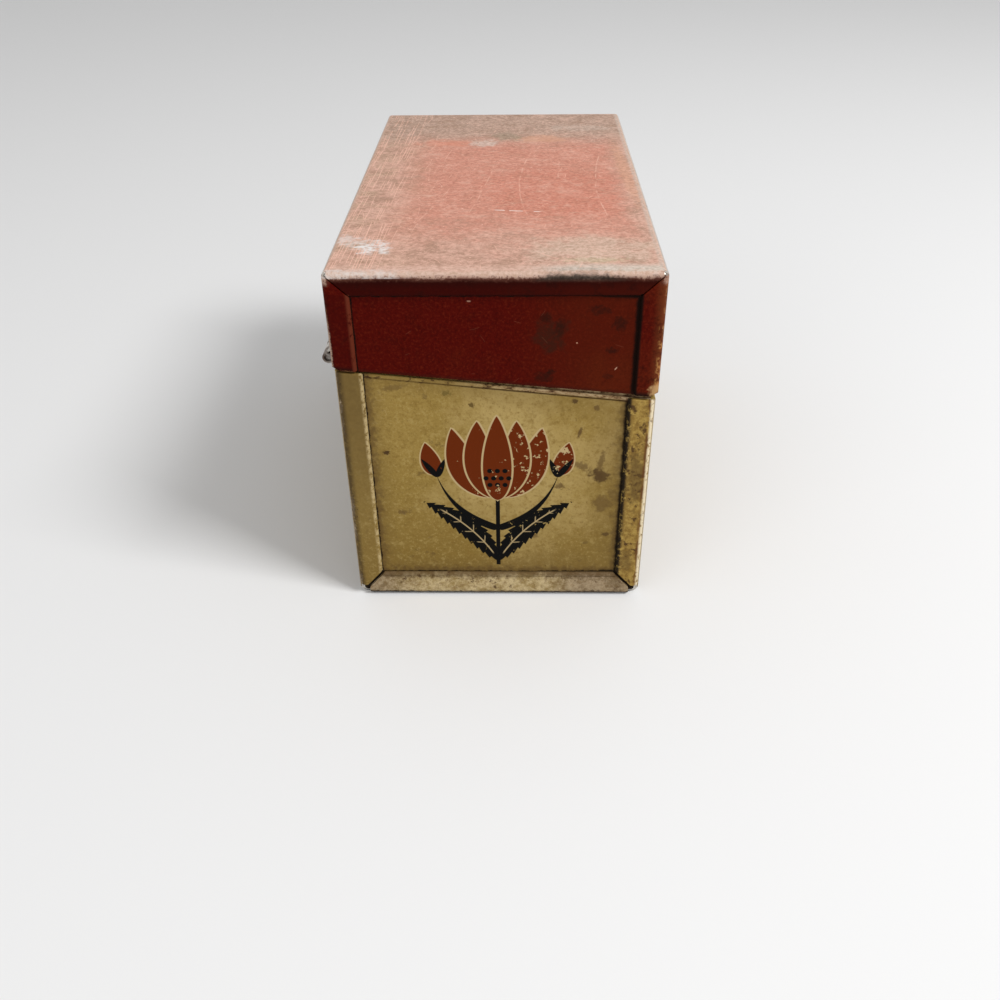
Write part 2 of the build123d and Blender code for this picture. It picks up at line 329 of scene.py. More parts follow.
def lid_edge(paint):
    """Height of the lid's lower edge at each place."""
    back, front = shoulder_back + seam_back, shoulder_front + seam_front
    return paint.x * ((front - back) / (2 * half_depth)) + (back + front) / 2


def shoulder(paint):
    """Height of the base's shoulder at each place."""
    slope = (shoulder_front - shoulder_back) / (2 * half_depth)
    return paint.x * slope + (shoulder_back + shoulder_front) / 2


def red_enamel(name):
    """The lid's dark red enamel, on the outside and on what its hems turn inwards."""
    paint = Paint(name)
    x, y, z = paint.x, paint.y, paint.z
    across, along = abs(x), abs(y)
    tinplate(paint)
    hemmed = z.under(lid_edge(paint) + hem_height + slack)
    in_hem = across.over(half_depth - hem - slack).most(along.over(lid_panel_y - hem - slack))
    skin = across.over(half_depth - sheet / 2).most(along.over(lid_panel_y - sheet / 2))
    painted = skin.most(z.over(top - sheet / 2)).most(hemmed * in_hem)

    # the enamel itself, browner in patches, and lighter and browner towards the opening side as painted
    # light
    paint.lay(painted, (0.066, 0.0018, 0.0005), roughness=0.45, metal=0.0)
    cloud = paint.noise(24, 11, detail=4.0, roughness=0.6)
    # the pull towards +x is painted light, lighter where the key light falls
    browner_and_lit = (x / half_depth * 0.25 + cloud).rise(0.48, 0.78)
    paint.lay(painted * browner_and_lit, (0.084, 0.0085, 0.0018))
    mottle = paint.noise(3.2, 12, detail=4.0, roughness=0.7)
    paint.lay(painted * mottle.rise(0.5, 0.7) * 0.6, (0.048, 0.0016, 0.0005))
    grain = paint.noise(0.7, 13, detail=4.0, roughness=0.8)
    paint.lay(painted * grain.rise(0.5, 0.68) * 0.6, (0.122, 0.014, 0.004))
    paint.lay(painted * grain.fall(0.34, 0.5) * 0.6, (0.030, 0.0012, 0.0004))
    paint.lay(painted * grain, lift=0.012)
    return paint, painted


def worn_top(paint, painted):
    """The lid's top: salmon in its middle, from fading and a painted sheen, rubbed to tan and olive
    towards its edges.
    """
    x, y, plan = paint.x, paint.y, paint.plan
    on_top = painted * paint.z.rise(top - 1.4, top - 0.7)
    fine = paint.noise((1.2, 1.0, 1.0), 21, detail=5.0, roughness=0.8)
    mottle = fine.rise(0.36, 0.62)
    cloud = paint.noise((15, 10, 10), 22, detail=6.0, roughness=0.74)
    streaky = paint.noise((5, 2.4, 2.4), 23, detail=4.0, roughness=0.7)
    ragged = (cloud - 0.5) * 2.2 + (streaky - 0.5) * 1.3 + (fine - 0.5) * 0.9

    def toned(dark, light):
        return paint.mix(mottle, dark, light)

    # the salmon ground: faded enamel with a painted sheen over it
    paint.lay(on_top, toned((0.44, 0.175, 0.122), (0.62, 0.285, 0.208)), roughness=0.55)
    redder = (paint.blot(plan, (14, -14), (24, 30), 1.2, 24) + ragged * 0.5).rise(0.3, 1.1)
    paint.lay(on_top * redder * 0.5, toned((0.45, 0.145, 0.092), (0.60, 0.225, 0.155)))
    paint.lay(on_top * streaky.rise(0.54, 0.66) * 0.6, toned((0.46, 0.24, 0.17), (0.62, 0.35, 0.27)))

    # rubbed towards the edges, by less at the opening side
    from_sides = ((x + half_depth) / 15).least((-x + half_depth) / 6)
    from_ends = ((y + half_length) / 28).least((-y + half_length) / 30)
    rubbed = (from_sides.least(from_ends) + ragged * 0.7).fall(0.25, 1.45)
    paint.lay(on_top * rubbed * 0.9, toned((0.42, 0.25, 0.185), (0.62, 0.39, 0.305)))
    olive = on_top * x.fall(-33, -12) * cloud.rise(0.45, 0.62) * 0.6
    paint.lay(olive, toned((0.33, 0.225, 0.145), (0.50, 0.36, 0.25)))
    far = on_top * (y + ragged * 15).rise(27, 47) * 0.9
    paint.lay(far, toned((0.28, 0.185, 0.14), (0.52, 0.365, 0.285)))
    dark_specks = paint.noise((1.1, 0.9, 0.9), 25, detail=3.0, roughness=0.7).rise(0.56, 0.68)
    paint.lay(on_top * y.rise(15, 50, 0.3, 1.0) * dark_specks * 0.6, (0.19, 0.11, 0.075))
    smoky = paint.noise((6.5, 5, 5), 27, detail=7.0, roughness=0.85)
    paint.lay(on_top * smoky.rise(0.50, 0.60) * rubbed.rise(0, 1, 0.2, 0.55), (0.27, 0.165, 0.105))
    paint.lay(on_top * smoky.fall(0.40, 0.48) * 0.3, (0.72, 0.46, 0.36))
    glints = paint.noise((1.1, 0.8, 0.8), 28, detail=3.0, roughness=0.8).rise(0.61, 0.68)
    paint.lay(on_top * glints * 0.6, (0.80, 0.50, 0.40))
    paint.lay(on_top * streaky.fall(0.3, 0.42) * 0.4, toned((0.30, 0.15, 0.105), (0.44, 0.23, 0.17)))
    near_edge = (y + ragged * 1.5).fall(2.5 - half_length, 6 - half_length)
    paint.lay(on_top * near_edge * 0.7, toned((0.50, 0.305, 0.235), (0.68, 0.46, 0.37)))
    paint.lay(on_top * near_edge * x.rise(4, 18) * 0.7, toned((0.42, 0.38, 0.31), (0.62, 0.57, 0.50)))
    strip = (-x + (fine - 0.5) * 1.2).fall(1.3 - half_depth, 2.2 - half_depth)
    paint.lay(on_top * strip * 0.6, toned((0.46, 0.37, 0.31), (0.60, 0.50, 0.43)))

    # rubs and stains, each in its place
    paint.lay_blots(on_top, plan, 2.2, 201, (
        ((-17, 33.1), (9, 4.0), 0, 0.45, (0.64, 0.23, 0.145)),
        ((11.2, 37.6), (9, 4.2), 0, 0.45, (0.60, 0.31, 0.19)),
        ((1.9, 40.4), (5.0, 5.0), 10, 0.6, toned((0.20, 0.155, 0.105), (0.34, 0.28, 0.20))),
        ((-5.0, 32.9), (5.0, 3.6), 0, 0.55, toned((0.44, 0.36, 0.30), (0.66, 0.58, 0.51))),
        ((24, 50), (11, 4), 0, 0.3, toned((0.42, 0.33, 0.27), (0.60, 0.50, 0.43))),
        ((22, -60.7), (8, 2.0), 0, 0.6, toned((0.36, 0.30, 0.18), (0.52, 0.45, 0.30))),
        ((22, -54), (17, 9), 0, 0.6, toned((0.44, 0.31, 0.225), (0.66, 0.50, 0.40))),
        ((34.5, 5), (2.0, 30), 2, 0.5, toned((0.48, 0.24, 0.145), (0.64, 0.34, 0.22))),
    ))
    scuff = paint.noise((1.8, 1.0, 1.0), 26, detail=4.0, roughness=0.7).rise(0.34, 0.58)
    paint.lay_blots(on_top * scuff, plan, 2.4, 221, (
        ((-28.4, -52.9), (4.6, 4.2), -30, 0.85, chalk),
        ((-33.8, -48.5), (4.6, 4.0), -25, 0.45, chalk),
    ))
    return on_top


def scratches(paint, on_top):
    """Fine pale scratches on the lid's top: long bowed ones, a bundle at the left, and strays."""
    x, plan = paint.x, paint.plan
    broken = paint.noise(6, 31, detail=2.0).rise(0.32, 0.48)
    faint = paint.wobbled(plan, 20, 32, 1.6)
    left = x.fall(-28, -22)
    marks = paint.strokes(plan, (1.3, 26), 33, 0.9, 34, 0.30, 88, 0.8, bow=0.05) * left
    marks = marks.most(paint.strokes(plan, (1.9, 20), 34, 0.9, 26, 0.26, 87, 1.0, bow=0.1) * left)
    marks = marks.most(paint.strokes(plan, (3.2, 16), 41, 0.6, 20, 0.20, 85, 4.0) * x.fall(-23, -13))
    marks = marks.most(paint.strokes(plan, (6.5, 6.5), 35, 0.50, 5.0, 0.20, 90, 55))
    marks = marks.most(paint.strokes(plan, (5.0, 4.0), 36, 0.55, 3.4, 0.22, 0, 35) * 0.9)
    marks = marks.most(paint.strokes(plan, (3.0, 2.2), 37, 0.45, 1.7, 0.24, 10, 70) * 0.9)
    paint.lay(on_top * marks * broken * 0.85, (0.80, 0.48, 0.37), lift=-0.02)
    bold = None
    for start, middle, end, width in (
        ((9.7, 28.8), (5.8, 3.7), (7.5, -34.0), 0.28),
        ((29.4, 23.6), (26.2, 1.2), (28.4, -42.3), 0.30),
        ((-1.8, 12.6), (-4.3, -12.3), (-8.0, -33.9), 0.24),
        ((-24.9, 43.7), (-27.7, 27.1), (-29.9, 8.6), 0.28),
        ((-26.3, 43.7), (-28.8, 28.4), (-31.3, 10.4), 0.24),
        ((-14.2, 26.9), (-15.5, 20.9), (-16.3, 14.0), 0.24),
        ((-19.9, 18.6), (-19.7, 6.3), (-18.7, -7.2), 0.26),
        ((-13.1, -8.3), (-16.6, -25.1), (-21.5, -40.2), 0.24),
        ((16.9, 17.9), (16.1, 7.8), (16.0, -2.7), 0.22),
        ((-13.4, 19.2), (-8.0, 18.6), (-2.5, 21.3), 0.30),
        ((9.2, -55.9), (12.3, -58.8), (29.5, -61.2), 0.30),
        ((11.5, 39.5), (22.0, 43.0), (31.0, 38.0), 0.24),
    ):
        line = paint.arc(faint, start, middle, end, width)
        bold = line if bold is None else bold.most(line)
    worn_through = paint.noise(4, 38, detail=4.0, roughness=0.75).rise(0.40, 0.58)
    paint.lay(on_top * bold * worn_through * 0.65, (0.74, 0.43, 0.33), lift=-0.03)
    gaps = paint.noise((1.6, 40, 40), 39, detail=0.0).rise(0.36, 0.40)
    dash = paint.arc(plan, (-1.4, -27.1), (5.0, -28.0), (11.2, -28.6), 0.30)
    paint.lay(on_top * dash * gaps, (0.88, 0.82, 0.76), lift=-0.03)
    nicks = paint.spots(2.2, 40, 0.5, 0.11)
    paint.lay(on_top * nicks * 0.8, (0.76, 0.50, 0.42))


def lid_wear(paint, painted):
    """Enamel worn through to a pale ground along the lid's top edges, chipped along its others."""
    dx = -abs(paint.x) + half_depth
    dy = -abs(paint.y) + half_length
    dz = -paint.z + top
    edge = middle_of_three(dx, dy, dz)
    cloud = paint.noise(11, 41, detail=4.0, roughness=0.65)
    fine = paint.noise(0.9, 42, detail=4.0, roughness=0.75)
    mottle = fine.rise(0.35, 0.65)
    reach = edge + (cloud - 0.5) * 2.2 + (fine - 0.5) * 2.8
    near_top = painted * dz.fall(1.8, 3.4)
    fringe = near_top * reach.fall(1.0, 2.3) * dz.rise(0.2, 0.8)
    paint.lay(fringe * 0.75, (0.135, 0.050, 0.033), roughness=0.5)
    cream = paint.mix(fine.rise(0.3, 0.7), (0.44, 0.285, 0.21), (0.64, 0.465, 0.38))
    paint.lay(near_top * reach.fall(0.55, 1.5), cream, roughness=0.5, lift=-0.02)
    left_on = near_top * dz.rise(0.3, 1.0) * dz.fall(1.6, 2.4) * fine.rise(0.5, 0.6)
    paint.lay(left_on * 0.7, (0.095, 0.036, 0.024), roughness=0.5)
    lower = paint.z - lid_edge(paint)
    rim = edge.least(lower)
    rusty = (rim + (cloud - 0.5) * 5.0).fall(-0.4, 0.9)
    paint.lay(painted * rusty * fine.rise(0.5, 0.7) * 0.8 * dz.rise(1.0, 2.5), (0.13, 0.040, 0.012))
    chipped = (rim + (cloud - 0.5) * 4.5 + (fine - 0.5) * 2.5).fall(-0.35, 0.2)
    gold = paint.mix(mottle, (0.26, 0.11, 0.035), (0.52, 0.34, 0.19))
    paint.lay(painted * chipped * dz.rise(1.0, 2.5), gold, roughness=0.55, lift=-0.02)


def upper_border(paint, ends, grime):
    """The borders at the lid's ends: darker along the top, dirty in patches, and darkened above their
    lower edge by soot and painted shadow.
    """
    x, z = paint.x, paint.z
    up_share = (z - lid_window_high) / (top - lid_window_high)
    out_share = (abs(x) - lid_window) / (half_depth - lid_window)
    upper = ends * (up_share - out_share).over(0.0)
    upper_red = paint.mix(x.rise(-10, 30), (0.026, 0.0012, 0.0005), (0.036, 0.0030, 0.0010))
    paint.lay(upper * 0.85, upper_red)
    paint.lay(upper * z.rise(top - 4.2, top - 1.6) * 0.6, (0.014, 0.0016, 0.0008))
    paint.lay(ends * grime * 0.6, (0.016, 0.0022, 0.0012), roughness=0.6)
    # soot and painted shadow along the lid's lower edge
    paint.lay(ends * (z - lid_edge(paint)).fall(0.4, 1.6) * 0.85, soot_and_shade, roughness=0.7)


def near_bend_marks(paint, painted):
    """The bend over the near end: ashen at the left, with a black smudge at the right."""
    x, z = paint.x, paint.z
    from_end = paint.y + half_length
    near_bend = painted * from_end.fall(1.4, 2.6) * z.rise(top - 2.4, top - 1.2)
    ash = paint.blot(paint.plan, (-38, -68), (21, 5), 1.6, 45)
    chalky = paint.noise(1.4, 46, detail=4.0, roughness=0.7).rise(0.35, 0.6)
    paint.lay(near_bend * z.over(top - 1.3) * ash * chalky * 0.6, (0.66, 0.62, 0.59))
    sooty = paint.noise((1.6, 1.2, 1.2), 47, detail=5.0, roughness=0.75) - 0.5
    reach = x.rise(5, 15) * x.fall(20, 33)
    smudge = (z - top + reach.rise(0, 1, 1.6, 0.4) + sooty * 2.6).fall(-0.7, 0.7)
    blackened = near_bend.most(painted * from_end.fall(2.0, 3.5) * z.over(top - 1.2))
    paint.lay(blackened * smudge * reach.rise(0.0, 0.5) * 0.9, (0.022, 0.019, 0.015), roughness=0.65)


def side_borders(paint, ends, grime):
    """The lid's upright borders: a paler bead at the left, partly wear and partly painted highlight; soot
    with painted shade and a rubbed corner at the right.
    """
    x, z = paint.x, paint.z
    on_sides = ends * abs(x).over(lid_window - 0.1) * z.under(lid_window_high + 0.5)
    left, right = on_sides * x.under(0.0), on_sides * x.over(0.0)
    paint.lay(left * 0.35, (0.034, 0.0012, 0.0005))
    # paler bead: wear and a painted highlight where it faces the key light
    bead = left * (-x - lid_window).fall(0.5, 1.2)
    paint.lay(bead * grime.fall(0.2, 0.9), (0.105, 0.020, 0.009))
    # soot with painted shade on the right border's inner rounding, which faces away from the light
    paint.lay(right * (x - lid_window).fall(0.25, 0.9) * 0.95, soot_and_shade, roughness=0.8)
    # brown towards the outer corner, and chipped to a golden ground low down
    corner = ends * x.rise(half_depth - 3.2, half_depth - 0.3)
    paint.lay(corner * grime.rise(0.0, 1.0, 0.55, 0.2), (0.155, 0.046, 0.015))
    chips = paint.noise((1.0, 1.0, 1.6), 48, detail=4.0, roughness=0.7)
    chips = (chips + z.rise(62, 84, 0.06, -0.08)).rise(0.52, 0.60)
    paint.lay(corner.rise(0.6, 0.95) * chips * 0.9, (0.36, 0.17, 0.055), roughness=0.55)
    paint.lay_blots(ends, paint.front, 2.0, 251, (
        ((half_depth - 0.8, 63.0), (1.6, 1.6), 0, 0.9, (0.42, 0.25, 0.11)),
        ((-half_depth, 74), (0.6, 9), 0, 0.8, (0.50, 0.36, 0.27)),
    ))


def lid_wrap_finish():
    """The lid's folded sheet: end borders, worn top and edges, and marks on the near bend."""
    paint, painted = red_enamel("lid_wrap_enamel")
    ends = painted * abs(paint.y).over(lid_panel_y)
    grime = paint.noise(3.5, 44, detail=5.0, roughness=0.75).rise(0.5, 0.68)
    upper_border(paint, ends, grime)
    on_top = worn_top(paint, painted)
    scratches(paint, on_top)
    lid_wear(paint, painted)
    near_bend_marks(paint, painted)
    side_borders(paint, ends, grime)
    return paint.finish(specular=0.03)


def lid_end_finish():
    """The lid's end panels, the near one with stains, each in its place."""
    paint, painted = red_enamel("lid_end_enamel")
    x, z = paint.x, paint.z
    stain = (0.020, 0.0045, 0.0022)
    # lighter and browner towards the right: painted light
    paint.lay(painted * x.rise(0, 22) * 0.45, (0.074, 0.0100, 0.0020))
    paint.lay(painted * paint.y.over(0.0) * paint.spots(13, 66, 0.3, 0.16) * 0.7, stain)
    speckled = paint.noise(0.9, 65, detail=4.0, roughness=0.8).rise(0.34, 0.58, 0.45, 1.0)
    near = painted * paint.y.under(0.0)
    paint.lay_blots(near * speckled, paint.front, 2.2, 51, (
        ((12.3, 76.8), (4.1, 5.0), -20, 0.85, (0.034, 0.0085, 0.004)),
        ((14.6, 78.8), (1.3, 2.6), -15, 0.6, stain),
        ((11.3, 81.0), (1.5, 1.3), 0, 0.7, stain),
        ((23.4, 82.9), (2.6, 1.4), 0, 0.7, stain),
        ((27.9, 79.9), (2.0, 2.0), 30, 0.7, stain),
        ((11.2, 66.1), (2.6, 1.6), 0, 0.75, stain),
        ((12.8, 67.6), (1.0, 0.9), 0, 0.8, stain),
        ((26.5, 73.0), (1.5, 0.9), 0, 0.7, stain),
        ((26.0, 66.4), (1.4, 0.9), 0, 0.5, stain),
        ((-5.8, 85.1), (0.5, 0.22), 0, 0.8, (0.36, 0.20, 0.14)),
        ((27.7, 68.4), (0.16, 0.5), -35, 0.9, (0.56, 0.33, 0.22)),
        ((18.5, 74.9), (0.25, 0.2), 0, 0.9, (0.46, 0.24, 0.15)),
    ))
    marks = paint.strokes(paint.front, (8, 6), 61, 0.35, 3.0, 0.14, 0, 60)
    paint.lay(painted * marks * 0.35, (0.26, 0.09, 0.05))
    from_border = (-abs(x) + lid_window).least(-z + lid_window_high)
    ragged = paint.noise(1.6, 62, detail=3.0, roughness=0.65) - 0.5
    # soot in the groove by the borders, widened on the right by painted shadow of the right border
    wide = x.rise(20, 31, 0.5, 1.2)
    outside = painted * abs(paint.y).over(lid_panel_y - sheet / 2)
    groove_soot_and_shadow = ((from_border + ragged * 0.7) / wide).fall(0.3, 1.0)
    paint.lay(outside * groove_soot_and_shadow * 0.95, soot_and_shade, roughness=0.8)
    nicks = paint.spots(5.5, 63, 0.2, 0.04)
    paint.lay(painted * nicks, (0.40, 0.24, 0.17), lift=-0.02)
    paint.lay(paint.noise(30, 64, detail=1.0), lift=0.3)
    # painted shadow along the lid's lower edge
    lower = (z - lid_edge(paint) + ragged * 1.0).fall(0.2, 1.0)
    paint.lay(painted * lower * 0.5, (0.030, 0.006, 0.003), roughness=0.6)
    return paint.finish(specular=0.03)


def mustard_enamel(name):
    """The base's mustard enamel, on the outside and up over the shoulder and rim."""
    paint = Paint(name)
    x, y, z = paint.x, paint.y, paint.z
    across, along = abs(x), abs(y)
    tinplate(paint)
    step = z.over(shoulder(paint) - sheet / 2)
    rim_x, rim_y = base_x - rim_step, base_panel_y - rim_step
    rim = step * across.over(rim_x - sheet / 2).most(along.over(rim_y - sheet / 2))
    skin = across.over(base_x - sheet / 2).most(along.over(base_panel_y - sheet / 2))
    painted = skin.most(z.under(sheet / 2)).most(rim)

    paint.lay(painted, (0.295, 0.195, 0.050), roughness=0.45, metal=0.0)
    cloud = paint.noise(19, 71, detail=4.0, roughness=0.6)
    paint.lay(painted * cloud.rise(0.38, 0.64) * 0.7, (0.245, 0.158, 0.036))
    paler = (cloud - abs(x - 8) / half_depth * 0.45).rise(0.22, 0.50)
    paint.lay(painted * paler * 0.8, (0.42, 0.30, 0.112))
    # darker towards the bottom: painted shade
    lower = (z + (cloud - 0.5) * 30).fall(2, 42)
    paint.lay(painted * lower * 0.8, (0.180, 0.110, 0.022))
    mottle = paint.noise(2.6, 72, detail=5.0, roughness=0.7)
    paint.lay(painted * mottle.rise(0.5, 0.66) * 0.6, (0.215, 0.130, 0.028))
    paint.lay(painted * mottle.fall(0.34, 0.46) * 0.5, (0.38, 0.272, 0.092))
    grain = paint.noise(0.7, 73, detail=4.0, roughness=0.8)
    paint.lay(painted * grain.rise(0.52, 0.7) * 0.5, (0.43, 0.315, 0.115))
    paint.lay(painted * grain.fall(0.32, 0.48) * 0.5, (0.15, 0.088, 0.020))
    paint.lay(painted * grain, lift=0.012)
    paint.lay(painted * paint.spots(5.2, 74, 0.22, 0.085), (0.040, 0.020, 0.009), roughness=0.7)
    paint.lay(painted * paint.spots(2.3, 75, 0.20, 0.08), (0.09, 0.048, 0.018), roughness=0.7)
    haze = paint.noise(5, 76, detail=5.0, roughness=0.8).rise(0.60, 0.70)
    paint.lay(painted * haze * 0.55, (0.105, 0.060, 0.020), roughness=0.6)
    return paint, painted


def base_wear(paint, painted):
    """Enamel chipped pale and spotted dark along the base's edges, and darkened at its foot by soot and
    painted shadow.
    """
    dx = -abs(paint.x) + base_x
    dy = -abs(paint.y) + base_y
    edge = middle_of_three(dx, dy, paint.z)
    cloud = paint.noise(9, 81, detail=4.0, roughness=0.65)
    fine = paint.noise(0.8, 82, detail=3.0, roughness=0.7)
    chipped = (edge + (cloud - 0.5) * 4.0 + (fine - 0.5) * 2.5).fall(0.1, 0.9)
    paint.lay(painted * chipped, (0.56, 0.44, 0.30), roughness=0.5, lift=-0.02)
    spotted = (edge * 0.4 + (fine - 0.5) * 5.0 + (cloud - 0.5) * 3.0).fall(-0.6, 0.1)
    paint.lay(painted * spotted * 0.85, (0.045, 0.022, 0.010), roughness=0.8)
    # soot and painted shadow along the foot
    foot_soot_and_shadow = (paint.z + (cloud - 0.5) * 1.2 + (fine - 0.5) * 0.8).fall(0.6, 1.5)
    paint.lay(painted * foot_soot_and_shadow * 0.95, soot_and_shade, roughness=0.85)


def left_border(paint, ends, bead, ragged):
    """The base's left border: darker upwards, with a bright bead along its inner edge, partly wear and
    partly painted highlight.
    """
    x = paint.x
    left = ends * x.under(-base_window + 1)
    dark = paint.mix(ragged, (0.095, 0.056, 0.013), (0.20, 0.128, 0.036))
    paint.lay(left * paint.z.rise(8, 60, 0.1, 0.95), dark)
    # bead: wear and a painted highlight where it faces the key light
    worn_and_lit = bead * x.under(0.0) * ragged.fall(0.44, 0.60)
    paint.lay(worn_and_lit * 0.85, (0.47, 0.36, 0.18), roughness=0.45)


def right_border(paint, right, bead, ragged, spotty):
    """The base's right border: golden, spotted with rust, and black along its inner edge from soot and
    painted shade.
    """
    x = paint.x
    golden = paint.mix(ragged.rise(0.34, 0.62), (0.41, 0.268, 0.064), (0.20, 0.110, 0.020))
    paint.lay(right * 0.8, golden)
    dirty = right * (x - base_window + (ragged - 0.5) * 5).fall(0.6, 1.6)
    paint.lay(dirty * ragged.rise(0.40, 0.52) * 0.9, (0.050, 0.028, 0.009), roughness=0.8)
    paint.lay(right * spotty.rise(0.56, 0.63) * 0.9, (0.060, 0.028, 0.010), roughness=0.8)
    paint.lay_blots(right, paint.front, 2.2, 281, (
        ((34.4, 38), (2.4, 9), 0, 0.65, (0.095, 0.054, 0.015)),
        ((33.4, 12), (1.8, 4), 0, 0.5, (0.095, 0.054, 0.015)),
    ))
    seam = right * x.line(base_x - 1.5, 0.7) * paint.noise((1, 1, 5), 93, detail=3.0).rise(0.38, 0.52)
    paint.lay(seam * 0.9, (0.10, 0.036, 0.010), roughness=0.8)
    # soot and painted shade on the inner rounding, which faces away from the light
    paint.lay(bead * x.over(0.0) * ragged.rise(0.3, 0.5) * 0.9, soot_and_shade, roughness=0.8)


def bottom_border(paint, ends, ragged, spotty):
    """The base's bottom border: rubbed pale in its middle, dull at both ends, with painted shade along
    its top.
    """
    x, z = paint.x, paint.z
    up_share = z / base_window_low
    out_share = (-abs(x) + base_x) / (base_x - base_window)
    bottom = ends * (out_share - up_share).over(0.0)
    blotched = paint.noise(2.6, 95, detail=5.0, roughness=0.8).rise(0.36, 0.64)
    pale = paint.mix(blotched, (0.60, 0.475, 0.265), (0.29, 0.20, 0.075))
    paint.lay(bottom * 0.85, pale)
    duller = (abs(x + 2) + x * 0.15).rise(13, 28)
    paint.lay(bottom * duller * 0.75, paint.mix(blotched, (0.32, 0.235, 0.155), (0.14, 0.095, 0.056)))
    paint.lay(bottom * ragged.rise(0.5, 0.62) * 0.5, (0.17, 0.098, 0.035))
    # painted shade along the border's top
    paint.lay(bottom * (z + (ragged - 0.5) * 4).rise(5.0, 7.6) * 0.85, (0.085, 0.048, 0.017))
    paint.lay(bottom * spotty.rise(0.60, 0.66) * 0.85, (0.070, 0.034, 0.014), roughness=0.8)


def base_wrap_finish():
    """The base's folded sheet: three borders at each end, worn edges and a foot darkened by dirt and
    painted shadow.
    """
    paint, painted = mustard_enamel("base_wrap_enamel")
    x, z = paint.x, paint.z
    ends = painted * abs(paint.y).over(base_panel_y + 0.02)
    right = ends * x.over(base_window - 1)
    bead = ends * (abs(x) - base_window).fall(0.35, 1.1) * z.over(base_window_low)
    ragged = paint.noise(1.3, 91, detail=5.0, roughness=0.75)
    spotty = paint.noise(2.2, 94, detail=5.0, roughness=0.75)
    left_border(paint, ends, bead, ragged)
    right_border(paint, right, bead, ragged, spotty)
    bottom_border(paint, ends, ragged, spotty)
    base_wear(paint, painted)

    # the foot darkened by dirt and painted shadow, painted shade along the left corner, and a pale strip
    # on the right one, partly wear and partly painted highlight
    foot_dirt_and_shadow = ends * (z + (ragged - 0.5) * 4.5).fall(0.7, 1.7)
    paint.lay(foot_dirt_and_shadow * 0.92, (0.018, 0.010, 0.006), roughness=0.8)
    # painted shade on the left corner, which faces away from the light
    left_edge_shade = ends * x.fall(-base_x + 0.8, -base_x + 2.6) * ragged.rise(0.36, 0.5)
    paint.lay(left_edge_shade * 0.75, (0.050, 0.028, 0.009), roughness=0.7)
    # pale strip: worn paint and a painted highlight on the bend that faces the key light
    cream = right * x.rise(base_x - 1.5, base_x - 0.8) * ragged.fall(0.52, 0.62)
    paint.lay(cream * z.over(2.0), (0.66, 0.56, 0.38), roughness=0.5)
    return paint.finish(specular=0.12)


def base_stains(paint, near, far):
    """Stains on the base's end panels: each in its place on the near one, strewn on the far one."""
    brown = (0.10, 0.055, 0.020)
    cloudy = paint.noise(1.8, 115, detail=4.0, roughness=0.75).rise(0.4, 0.6, 0.3, 1.0)
    strewn = far * cloudy
    paint.lay(strewn * paint.spots(17, 116, 0.35, 0.14) * 0.8, brown)
    paint.lay(strewn * paint.spots(9, 117, 0.25, 0.09) * 0.9, umber)
    paint.lay_blots(near, paint.front, 2.2, 101, (
        ((-11.9, 61.8), (1.3, 0.8), 0, 0.75, (0.12, 0.085, 0.020)),
        ((-5.9, 58.5), (0.8, 0.8), 0, 0.9, (0.10, 0.060, 0.016)),
        ((-24.2, 63.3), (3.2, 0.9), 10, 0.5, brown),
        ((-27.2, 45.2), (0.9, 0.7), 0, 0.95, umber),
        ((18.6, 59.6), (0.8, 0.7), 0, 0.95, umber),
        ((23.9, 57.8), (1.0, 0.8), -30, 0.8, brown),
        ((20.1, 51.0), (0.5, 1.8), -15, 0.85, brown),
        ((25.3, 38.5), (2.9, 2.0), -30, 0.9, umber),
        ((25.6, 42.6), (0.9, 3.2), -10, 0.7, brown),
        ((20.4, 41.4), (3.2, 1.3), -28, 0.65, brown),
        ((26.2, 29.8), (3.0, 2.6), 20, 0.65, brown),
        ((28.8, 32.6), (1.0, 2.2), 20, 0.5, brown),
        ((15.5, 35.2), (1.4, 1.0), 0, 0.75, brown),
        ((27.9, 20.2), (1.1, 0.7), 0, 0.8, umber),
        ((-24.6, 27.2), (1.5, 0.8), 0, 0.6, brown),
        ((9.5, 19.5), (1.0, 0.8), 0, 0.6, brown),
    ))


def shoulder_strip(paint, painted, below):
    """The strip below the lid's edge: paler to the right, nicked, with a dark crease under it."""
    x = paint.x
    nicked = paint.noise((2.2, 1, 1), 114, detail=5.0, roughness=0.75)
    rubbed = paint.mix(nicked.rise(0.4, 0.56), (0.42, 0.31, 0.18), (0.20, 0.115, 0.060))
    paint.lay(painted * below.fall(0.65, 0.9) * x.rise(-18, 14, 0.0, 0.8), rubbed)
    paint.lay(painted * below.fall(1.0, 1.5) * nicked.rise(0.55, 0.60) * 0.9, umber, roughness=0.8)
    crease = below.line(crease_drop, 0.34)
    paint.lay(painted * crease * x.rise(-24, 4, 0.35, 0.95), umber, roughness=0.8)


